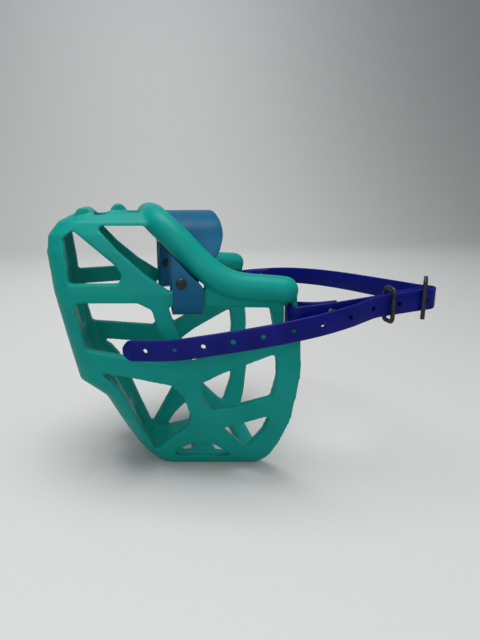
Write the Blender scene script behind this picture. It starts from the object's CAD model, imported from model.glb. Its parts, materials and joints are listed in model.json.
import json
import math
import bpy
import bmesh
from mathutils import Matrix, Vector


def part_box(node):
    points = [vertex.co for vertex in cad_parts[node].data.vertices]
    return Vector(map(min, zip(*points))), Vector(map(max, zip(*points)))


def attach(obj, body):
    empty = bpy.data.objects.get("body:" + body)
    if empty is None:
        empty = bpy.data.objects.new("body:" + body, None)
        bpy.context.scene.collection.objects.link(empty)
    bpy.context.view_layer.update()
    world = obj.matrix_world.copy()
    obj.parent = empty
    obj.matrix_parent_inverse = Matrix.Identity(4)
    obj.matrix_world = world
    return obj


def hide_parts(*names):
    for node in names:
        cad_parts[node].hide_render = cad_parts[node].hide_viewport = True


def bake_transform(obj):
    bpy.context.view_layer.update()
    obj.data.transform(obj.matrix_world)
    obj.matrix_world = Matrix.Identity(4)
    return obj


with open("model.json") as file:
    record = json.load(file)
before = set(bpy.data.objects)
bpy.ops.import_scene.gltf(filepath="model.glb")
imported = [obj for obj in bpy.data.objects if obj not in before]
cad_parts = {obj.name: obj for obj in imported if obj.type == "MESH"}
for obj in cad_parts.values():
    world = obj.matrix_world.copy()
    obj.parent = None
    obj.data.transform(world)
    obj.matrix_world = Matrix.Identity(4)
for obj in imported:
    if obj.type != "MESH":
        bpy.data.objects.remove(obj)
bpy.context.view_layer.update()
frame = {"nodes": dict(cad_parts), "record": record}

MM = 0.001
bpy.context.scene.view_settings.view_transform = "Standard"


# ---------------------------------------------------------------- materials
def material(name):
    """A node material with its shader, and a helper that adds nodes."""
    mat = bpy.data.materials.new(name)
    mat.use_nodes = True
    nodes = mat.node_tree.nodes
    return mat, nodes, mat.node_tree.links, nodes["Principled BSDF"]


def colour_noise(nodes, links, shader, low, high, scale):
    """Soft colour variation between two tones, in the object's own coordinates."""
    place = nodes.new("ShaderNodeTexCoord")
    noise = nodes.new("ShaderNodeTexNoise")
    noise.inputs["Scale"].default_value = scale
    noise.inputs["Detail"].default_value = 4.0
    ramp = nodes.new("ShaderNodeValToRGB")
    ramp.color_ramp.elements[0].position = 0.35
    ramp.color_ramp.elements[1].position = 0.65
    ramp.color_ramp.elements[0].color = (*low, 1)
    ramp.color_ramp.elements[1].color = (*high, 1)
    links.new(place.outputs["Object"], noise.inputs["Vector"])
    links.new(noise.outputs["Fac"], ramp.inputs["Fac"])
    links.new(ramp.outputs["Color"], shader.inputs["Base Color"])
    return place


def bump(nodes, links, shader, place, scale, strength, distance, kind="ShaderNodeTexNoise"):
    """Fine surface relief."""
    grain = nodes.new(kind)
    grain.inputs["Scale"].default_value = scale
    relief = nodes.new("ShaderNodeBump")
    relief.inputs["Strength"].default_value = strength
    relief.inputs["Distance"].default_value = distance
    links.new(place.outputs["Object"], grain.inputs["Vector"])
    links.new(grain.outputs[0], relief.inputs["Height"])
    links.new(relief.outputs["Normal"], shader.inputs["Normal"])


def roughness_noise(nodes, links, shader, place, scale, low, high):
    """Small changes of gloss over the surface."""
    noise = nodes.new("ShaderNodeTexNoise")
    noise.inputs["Scale"].default_value = scale
    span = nodes.new("ShaderNodeMapRange")
    span.inputs["To Min"].default_value = low
    span.inputs["To Max"].default_value = high
    links.new(place.outputs["Object"], noise.inputs["Vector"])
    links.new(noise.outputs["Fac"], span.inputs["Value"])
    links.new(span.outputs["Result"], shader.inputs["Roughness"])


def moulded_rubber():
    mat, nodes, links, shader = material("moulded_rubber")
    place = colour_noise(nodes, links, shader, (0.0, 0.215, 0.185), (0.002, 0.245, 0.212), 35)
    bump(nodes, links, shader, place, 1500, 0.10, 0.0002)
    roughness_noise(nodes, links, shader, place, 60, 0.36, 0.46)
    shader.inputs["Specular IOR Level"].default_value = 0.1
    shader.inputs["Subsurface Weight"].default_value = 0.06
    shader.inputs["Subsurface Radius"].default_value = (0.001, 0.004, 0.003)
    shader.inputs["Coat Weight"].default_value = 0.02
    shader.inputs["Coat Roughness"].default_value = 0.3
    return mat


def coated_web(name, low, high, rough):
    mat, nodes, links, shader = material(name)
    place = colour_noise(nodes, links, shader, low, high, 90)
    bump(nodes, links, shader, place, 2600, 0.16, 0.00015, "ShaderNodeTexVoronoi")
    roughness_noise(nodes, links, shader, place, 120, rough - 0.05, rough + 0.06)
    shader.inputs["Specular IOR Level"].default_value = 0.12
    shader.inputs["Coat Weight"].default_value = 0.03
    shader.inputs["Coat Roughness"].default_value = 0.35
    return mat


def black_metal():
    mat, nodes, links, shader = material("black_coated_metal")
    place = colour_noise(nodes, links, shader, (0.006, 0.008, 0.009), (0.016, 0.019, 0.020), 400)
    bump(nodes, links, shader, place, 4000, 0.12, 0.0001)
    roughness_noise(nodes, links, shader, place, 300, 0.28, 0.42)
    shader.inputs["Metallic"].default_value = 0.35
    return mat


RUBBER = moulded_rubber()
NOSE_WEB = coated_web("nose_band_web", (0.001, 0.070, 0.150), (0.002, 0.088, 0.178), 0.42)
NECK_WEB = coated_web("neck_strap_web", (0.001, 0.003, 0.110), (0.002, 0.006, 0.150), 0.38)
BLACK = black_metal()


# ---------------------------------------------------------------- mesh helpers
def new_object(name, mesh, mat):
    piece = bpy.data.objects.new(name, mesh)
    bpy.context.scene.collection.objects.link(piece)
    mesh.materials.clear()
    mesh.materials.append(mat)
    return piece


def apply_modifiers(piece):
    """Bakes the modifiers into the piece's mesh."""
    graph = bpy.context.evaluated_depsgraph_get()
    baked = bpy.data.meshes.new_from_object(piece.evaluated_get(graph))
    piece.modifiers.clear()
    piece.data = baked


def smooth(piece, angle=None):
    """Smooth shading, with edges sharper than the angle kept crisp."""
    mesh = piece.data
    mesh.shade_smooth()
    if angle:
        mesh.set_sharp_from_angle(angle=math.radians(angle))


def copy_nodes(name, nodes, mat):
    """One new object with copies of these CAD nodes' meshes."""
    joined = bmesh.new()
    for node in nodes:
        source = frame["nodes"][node]
        part = source.data.copy()
        part.transform(source.matrix_world)
        joined.from_mesh(part)
        bpy.data.meshes.remove(part)
    bmesh.ops.remove_doubles(joined, verts=joined.verts, dist=0.00001)
    mesh = bpy.data.meshes.new(name)
    joined.to_mesh(mesh)
    joined.free()
    return new_object(name, mesh, mat)


def curve_points(points, steps):
    """A smooth path through the points."""
    path = []
    ends = [points[0] * 2 - points[1]] + points + [points[-1] * 2 - points[-2]]
    for a, b, c, d in zip(ends, ends[1:], ends[2:], ends[3:]):
        for step in range(steps):
            t = step / steps
            path.append(0.5 * (2 * b + (c - a) * t + (2 * a - 5 * b + 4 * c - d) * t ** 2
                               + (3 * b - a - 3 * c + d) * t ** 3))
    return path + [points[-1]]


def strap_section(width, thick):
    """Rounded outline of a flat strap, as (along width, along thickness)."""
    edge = thick * 0.5
    outline = []
    for side, start in ((1, -90), (-1, 90)):
        for turn in range(0, 181, 30):
            angle = math.radians(start + turn)
            outline.append((side * (width / 2 - edge) + edge * math.cos(angle), edge * math.sin(angle)))
    return outline


def ribbon(name, points, width, thick, mat, tip=0.0, steps=5):
    """A flat strap along a path, standing on edge, with rounded edges and an optional rounded tip."""
    path = curve_points([Vector(p) * MM for p in points], steps)
    section = strap_section(width * MM, thick * MM)
    reach = [0.0]
    for one, two in zip(path, path[1:]):
        reach.append(reach[-1] + (two - one).length)
    mesh = bmesh.new()
    rings = []
    for index, spot in enumerate(path):
        way = (path[min(index + 1, len(path) - 1)] - path[max(index - 1, 0)]).normalized()
        across = way.cross(Vector((0, 0, 1))).normalized()
        up = across.cross(way)
        left = reach[-1] - reach[index]
        scale = 1.0
        if tip and left < tip * MM:
            scale = max(0.35, math.sqrt(1 - (1 - left / (tip * MM)) ** 2))
        rings.append([mesh.verts.new(spot + up * a * scale + across * b) for a, b in section])
    count = len(section)
    for one, two in zip(rings, rings[1:]):
        for i in range(count):
            mesh.faces.new((one[i], one[(i + 1) % count], two[(i + 1) % count], two[i]))
    mesh.faces.new(rings[0][::-1])
    mesh.faces.new(rings[-1])
    bmesh.ops.recalc_face_normals(mesh, faces=mesh.faces)
    data = bpy.data.meshes.new(name)
    mesh.to_mesh(data)
    mesh.free()
    piece = new_object(name, data, mat)
    return piece, path, reach


def lathe(name, profile, mat, turns=40):
    """A turned piece: profile points (radius, height) in millimetres."""
    mesh = bmesh.new()
    rings = []
    for radius, height in profile:
        ring = []
        for step in range(turns):
            angle = 2 * math.pi * step / turns
            spot = Vector((radius * math.cos(angle), radius * math.sin(angle), height)) * MM
            ring.append(mesh.verts.new(spot))
        rings.append(ring)
    for one, two in zip(rings, rings[1:]):
        for i in range(turns):
            mesh.faces.new((one[i], one[(i + 1) % turns], two[(i + 1) % turns], two[i]))
    mesh.faces.new(rings[0][::-1])
    mesh.faces.new(rings[-1])
    bmesh.ops.recalc_face_normals(mesh, faces=mesh.faces)
    data = bpy.data.meshes.new(name)
    mesh.to_mesh(data)
    mesh.free()
    piece = new_object(name, data, mat)
    smooth(piece, 50)
    return piece


def punch(piece, spots, radius):
    """Round holes through the piece at (place, direction) pairs."""
    cutter = bmesh.new()
    for spot, way in spots:
        turn = way.to_track_quat("Z", "Y").to_matrix().to_4x4()
        bmesh.ops.create_cone(cutter, cap_ends=True, segments=24, radius1=radius * MM, radius2=radius * MM,
                              depth=12 * MM, matrix=Matrix.Translation(spot) @ turn)
    data = bpy.data.meshes.new("punches")
    cutter.to_mesh(data)
    cutter.free()
    tool = bpy.data.objects.new("punches", data)
    bpy.context.scene.collection.objects.link(tool)
    cut = piece.modifiers.new("holes", "BOOLEAN")
    cut.object = tool
    cut.operation = "DIFFERENCE"
    cut.solver = "EXACT"
    apply_modifiers(piece)
    bpy.data.objects.remove(tool)
    bpy.data.meshes.remove(data)


# ---------------------------------------------------------------- basket
basket_nodes = [n for n in frame["record"]["behaviour"]["bodies"]["basket"]
                if n != "nose_band" and "rivet" not in n]
basket = copy_nodes("basket_moulding", basket_nodes, RUBBER)
remesh = basket.modifiers.new("one_moulding", "REMESH")
remesh.mode = "VOXEL"
remesh.voxel_size = 0.8 * MM
relax = basket.modifiers.new("rounded_bars", "SMOOTH")
relax.factor = 0.5
relax.iterations = 4
apply_modifiers(basket)
smooth(basket)
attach(basket, "basket")
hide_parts(*basket_nodes)

# ---------------------------------------------------------------- neck strap
SLOT_X, SLOT_Z, RISE = 43.8, 104.0, 0.10
HINGE_X, TAIL_RISE = 91.0, 0.19
STRAP_WIDE, STRAP_THICK = 12, 1.9
# Plan routes (x, y) in millimetres: through the left slot and round the buckle's middle bar; through the
# right slot and round the neck to the buckle; and the loose tail to its tip.
NEAR = [(70, -67.8), (60, -65.2), (54, -61.0), (49.5, -56.8), (45.5, -56.0), (43.9, -58.5), (43.8, -62),
        (44.2, -66.0), (47.5, -68.3), (54, -69.6), (60, -70.4), (70, -71.2), (85, -71.2), (100, -70.7),
        (112, -70.8), (118, -71.3), (121.9, -71.9), (124.5, -70.8), (124.2, -67.8), (121.2, -67.2),
        (117, -67.6), (112, -67.8), (105.2, -68.1)]
FAR = [(69, 57.8), (63, 60.4), (58, 60.6), (53, 59.2), (49.5, 56.8), (45.5, 56.0), (43.9, 58.5), (43.8, 62),
       (44.2, 66.0), (47.5, 68.2), (54, 67.6), (61, 65.6), (68, 62.6), (77, 57), (88, 45), (99, 25), (108, 0),
       (115, -26), (119.6, -44), (122.6, -56), (124.2, -62.0), (126.4, -66.4), (127.2, -71.0), (124.2, -74.0),
       (119.65, -73.8), (112, -73.5), (100, -73.2)]
TAIL = [(90.8, -73.2), (84, -74.6), (73, -77.5), (57, -78.8), (41, -77.2), (25, -73.8), (11, -69.8),
        (-4, -64.8), (-17, -59.8), (-29, -55.2), (-39, -51.2), (-45.0, -48.6)]


def neck_height(x):
    """The neck strap rises evenly from the slots."""
    return SLOT_Z + RISE * (x - SLOT_X)


def tail_height(x):
    """The tail falls towards its tip, and levels out near it."""
    return neck_height(HINGE_X) + TAIL_RISE * (x - HINGE_X + 0.75 * max(0.0, -20.0 - x))


near_strap, _, _ = ribbon("near_strap_web", [(x, y, neck_height(x)) for x, y in NEAR],
                          STRAP_WIDE, STRAP_THICK, NECK_WEB)
smooth(near_strap, 60)
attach(near_strap, "neck_strap")
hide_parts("near_strap")

whole = [(x, y, neck_height(x)) for x, y in FAR] + [(x, y, tail_height(x)) for x, y in TAIL]
long_strap, path, reach = ribbon("long_strap_web", whole, STRAP_WIDE, STRAP_THICK, NECK_WEB, tip=5.0)
HOLE_PITCH, HOLE_COUNT, HOLE_RADIUS = 16.0, 12, 1.35
FIRST_HOLE = 12.5     # from the tip
spots = []
for number in range(HOLE_COUNT):
    target = reach[-1] - (FIRST_HOLE + number * HOLE_PITCH) * MM
    index = min(range(1, len(path) - 1), key=lambda i: abs(reach[i] - target))
    way = (path[index + 1] - path[index - 1]).normalized()
    spots.append((path[index] + way * (target - reach[index]), way.cross(Vector((0, 0, 1)))))
punch(long_strap, spots, HOLE_RADIUS)
smooth(long_strap, 40)
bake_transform(long_strap)
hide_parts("long_strap", "strap_tail")


# ---------------------------------------------------------------- nose band
def band_loop(spread):
    """Half of the band's route seen along the nose: crown, inner leg, fold under the bar, outer flap."""
    return [(0, 158.2), (14, 157.2), (25, 152), (30.5, 144), (34.5 + spread * 0.6, 134), (38.2 + spread, 124),
            (38.6 + spread, 112), (39.8 + spread, 107.2), (45.5 + spread, 105.2), (51.2 + spread, 107.4),
            (52.9 + spread, 112), (53.1 + spread, 120), (52.6 + spread, 127), (51.0 + spread, 138)]


def nose_band():
    """The band: front and rear edges follow the loop, narrow at the legs and wide over the nose."""
    front_x = [-16, -16, -16.5, -17] + [-17.5] * 10
    rear_x = [12, 12.5, 14, 14, 9, -1, -2, -2, -2, -2, -2, -2, -8.6, -18]
    columns = 8
    half = []
    for column in range(columns + 1):
        share = column / columns
        points = []
        for index in range(len(front_x)):
            x = front_x[index] + share * (rear_x[index] - front_x[index])
            y, z = band_loop((x + 22) * 0.241 - 2.6)[index]
            points.append(Vector((x, y, z)))
        mirrored = [Vector((p.x, -p.y, p.z)) for p in points[:0:-1]]
        half.append(curve_points(mirrored + points, 5))
    mesh = bmesh.new()
    grid = [[mesh.verts.new(spot * MM) for spot in line] for line in half]
    for one, two in zip(grid, grid[1:]):
        for i in range(len(one) - 1):
            mesh.faces.new((one[i], one[i + 1], two[i + 1], two[i]))
    bmesh.ops.recalc_face_normals(mesh, faces=mesh.faces)
    data = bpy.data.meshes.new("nose_band_web")
    mesh.to_mesh(data)
    mesh.free()
    piece = new_object("nose_band_web", data, NOSE_WEB)
    thicken = piece.modifiers.new("thickness", "SOLIDIFY")
    thicken.thickness = 2.3 * MM
    thicken.offset = 0
    soften = piece.modifiers.new("soft_edges", "BEVEL")
    soften.width = 0.7 * MM
    soften.segments = 3
    soften.limit_method = "ANGLE"
    soften.angle_limit = math.radians(50)
    apply_modifiers(piece)
    smooth(piece, 60)
    return piece


band = nose_band()
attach(band, "basket")
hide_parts("nose_band")


# ---------------------------------------------------------------- rivets
def middle(node):
    low, high = (Vector(corner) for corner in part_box(node))
    return (low + high) / 2, high - low


def rivet(node, normal, body):
    """A tubular rivet: domed outer head with a dimple, shank, and a rolled inner end."""
    centre, extent = middle(node)
    normal = Vector(normal).normalized()
    length = abs(extent.y) / MM
    if abs(normal.x) > 0.1:
        length = 8.8
    half = length / 2
    dome = [(0.5, half - 0.15), (1.1, half - 0.1), (1.6, half), (2.3, half - 0.25), (2.8, half - 0.7),
            (3.0, half - 1.15), (2.9, half - 1.3), (1.3, half - 1.35)]
    foot = [(1.3, -half + 1.3), (2.6, -half + 1.2), (2.75, -half + 0.8), (2.3, -half + 0.2), (1.5, -half),
            (0.8, -half + 0.4), (0.3, -half + 0.5)]
    piece = lathe(node + "_turned", dome + foot, BLACK)
    turn = normal.to_track_quat("Z", "Y").to_matrix().to_4x4()
    piece.data.transform(Matrix.Translation(centre) @ turn)
    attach(piece, body)
    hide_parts(node)


rivet("left_nose_rivet", (0, -1, 0), "basket")
rivet("right_nose_rivet", (0, 1, 0), "basket")
rivet("left_anchor_rivet", (0, -1, 0), "neck_strap")
rivet("right_anchor_rivet", (0.3, 0.95, 0), "neck_strap")
rivet("buckle_strap_rivet", (0, -1, 0), "neck_strap")

# ---------------------------------------------------------------- buckle and keeper
buckle = copy_nodes("buckle_cast", ["buckle_frame"], BLACK)
rounding = buckle.modifiers.new("rounding", "BEVEL")
rounding.width = 0.75 * MM
rounding.segments = 4
rounding.limit_method = "ANGLE"
rounding.angle_limit = math.radians(40)
apply_modifiers(buckle)
smooth(buckle, 50)
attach(buckle, "neck_strap")
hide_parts("buckle_frame")
for slot_item in frame["nodes"]["keeper"].material_slots:
    slot_item.material = BLACK


# ---------------------------------------------------------------- floor, light, camera
def backdrop():
    """A pale floor that sweeps up into a plain wall."""
    mesh = bmesh.new()
    profile = [(-2.0, 0.0)]
    bend, back = 0.9, 2.2
    for step in range(13):
        angle = math.radians(-90 + 90 * step / 12)
        profile.append((back - bend + bend * math.cos(angle), bend + bend * math.sin(angle)))
    profile.append((back, 4.0))
    rows = [[mesh.verts.new((x, y, z - 0.0002)) for y, z in profile] for x in (-5.0, 5.0)]
    for i in range(len(profile) - 1):
        mesh.faces.new((rows[0][i], rows[1][i], rows[1][i + 1], rows[0][i + 1]))
    data = bpy.data.meshes.new("backdrop")
    mesh.to_mesh(data)
    mesh.free()
    mat, nodes, links, shader = material("backdrop_paper")
    place = nodes.new("ShaderNodeTexCoord")
    split = nodes.new("ShaderNodeSeparateXYZ")
    ramp = nodes.new("ShaderNodeValToRGB")
    ramp.color_ramp.elements[0].position = 0.0
    ramp.color_ramp.elements[0].color = (0.55, 0.555, 0.55, 1)
    ramp.color_ramp.elements[1].position = 1.0
    ramp.color_ramp.elements[1].color = (0.50, 0.505, 0.51, 1)
    links.new(place.outputs["Object"], split.inputs["Vector"])
    links.new(split.outputs["Z"], ramp.inputs["Fac"])
    links.new(ramp.outputs["Color"], shader.inputs["Base Color"])
    shader.inputs["Roughness"].default_value = 0.55
    piece = new_object("backdrop", data, mat)
    smooth(piece)


def area_light(name, spot, aim, size, power, tint=(1, 1, 1)):
    light = bpy.data.lights.new(name, "AREA")
    light.size = size
    light.energy = power
    light.color = tint
    lamp = bpy.data.objects.new(name, light)
    bpy.context.scene.collection.objects.link(lamp)
    lamp.location = spot
    lamp.rotation_euler = (Vector(aim) - Vector(spot)).to_track_quat("-Z", "Y").to_euler()


backdrop()
area_light("top_softbox", (-0.1, -0.1, 1.1), (0, 0, 0.05), 0.7, 11.5)
area_light("front_fill", (-0.6, -1.3, 0.7), (0, 0, 0.08), 1.0, 7)
area_light("side_fill", (1.1, -0.5, 0.7), (0, 0, 0.08), 0.9, 2.5)
area_light("back_wash", (0.2, 0.9, 1.2), (0.0, 2.0, 0.3), 1.2, 12)
world = bpy.data.worlds.new("studio")
world.use_nodes = True
world.node_tree.nodes["Background"].inputs["Color"].default_value = (0.80, 0.84, 0.85, 1)
world.node_tree.nodes["Background"].inputs["Strength"].default_value = 0.32
bpy.context.scene.world = world

camera_data = bpy.data.cameras.new("camera")
camera_data.sensor_fit = "HORIZONTAL"
camera_data.sensor_width = 36
camera_data.lens = 36
camera_data.clip_start = 0.01
camera = bpy.data.objects.new("camera", camera_data)
bpy.context.scene.collection.objects.link(camera)
camera.location = (-0.043, -0.304, 0.166)
camera.rotation_euler = (math.radians(90 - 14.15), 0, math.radians(-13.85))
bpy.context.scene.camera = camera
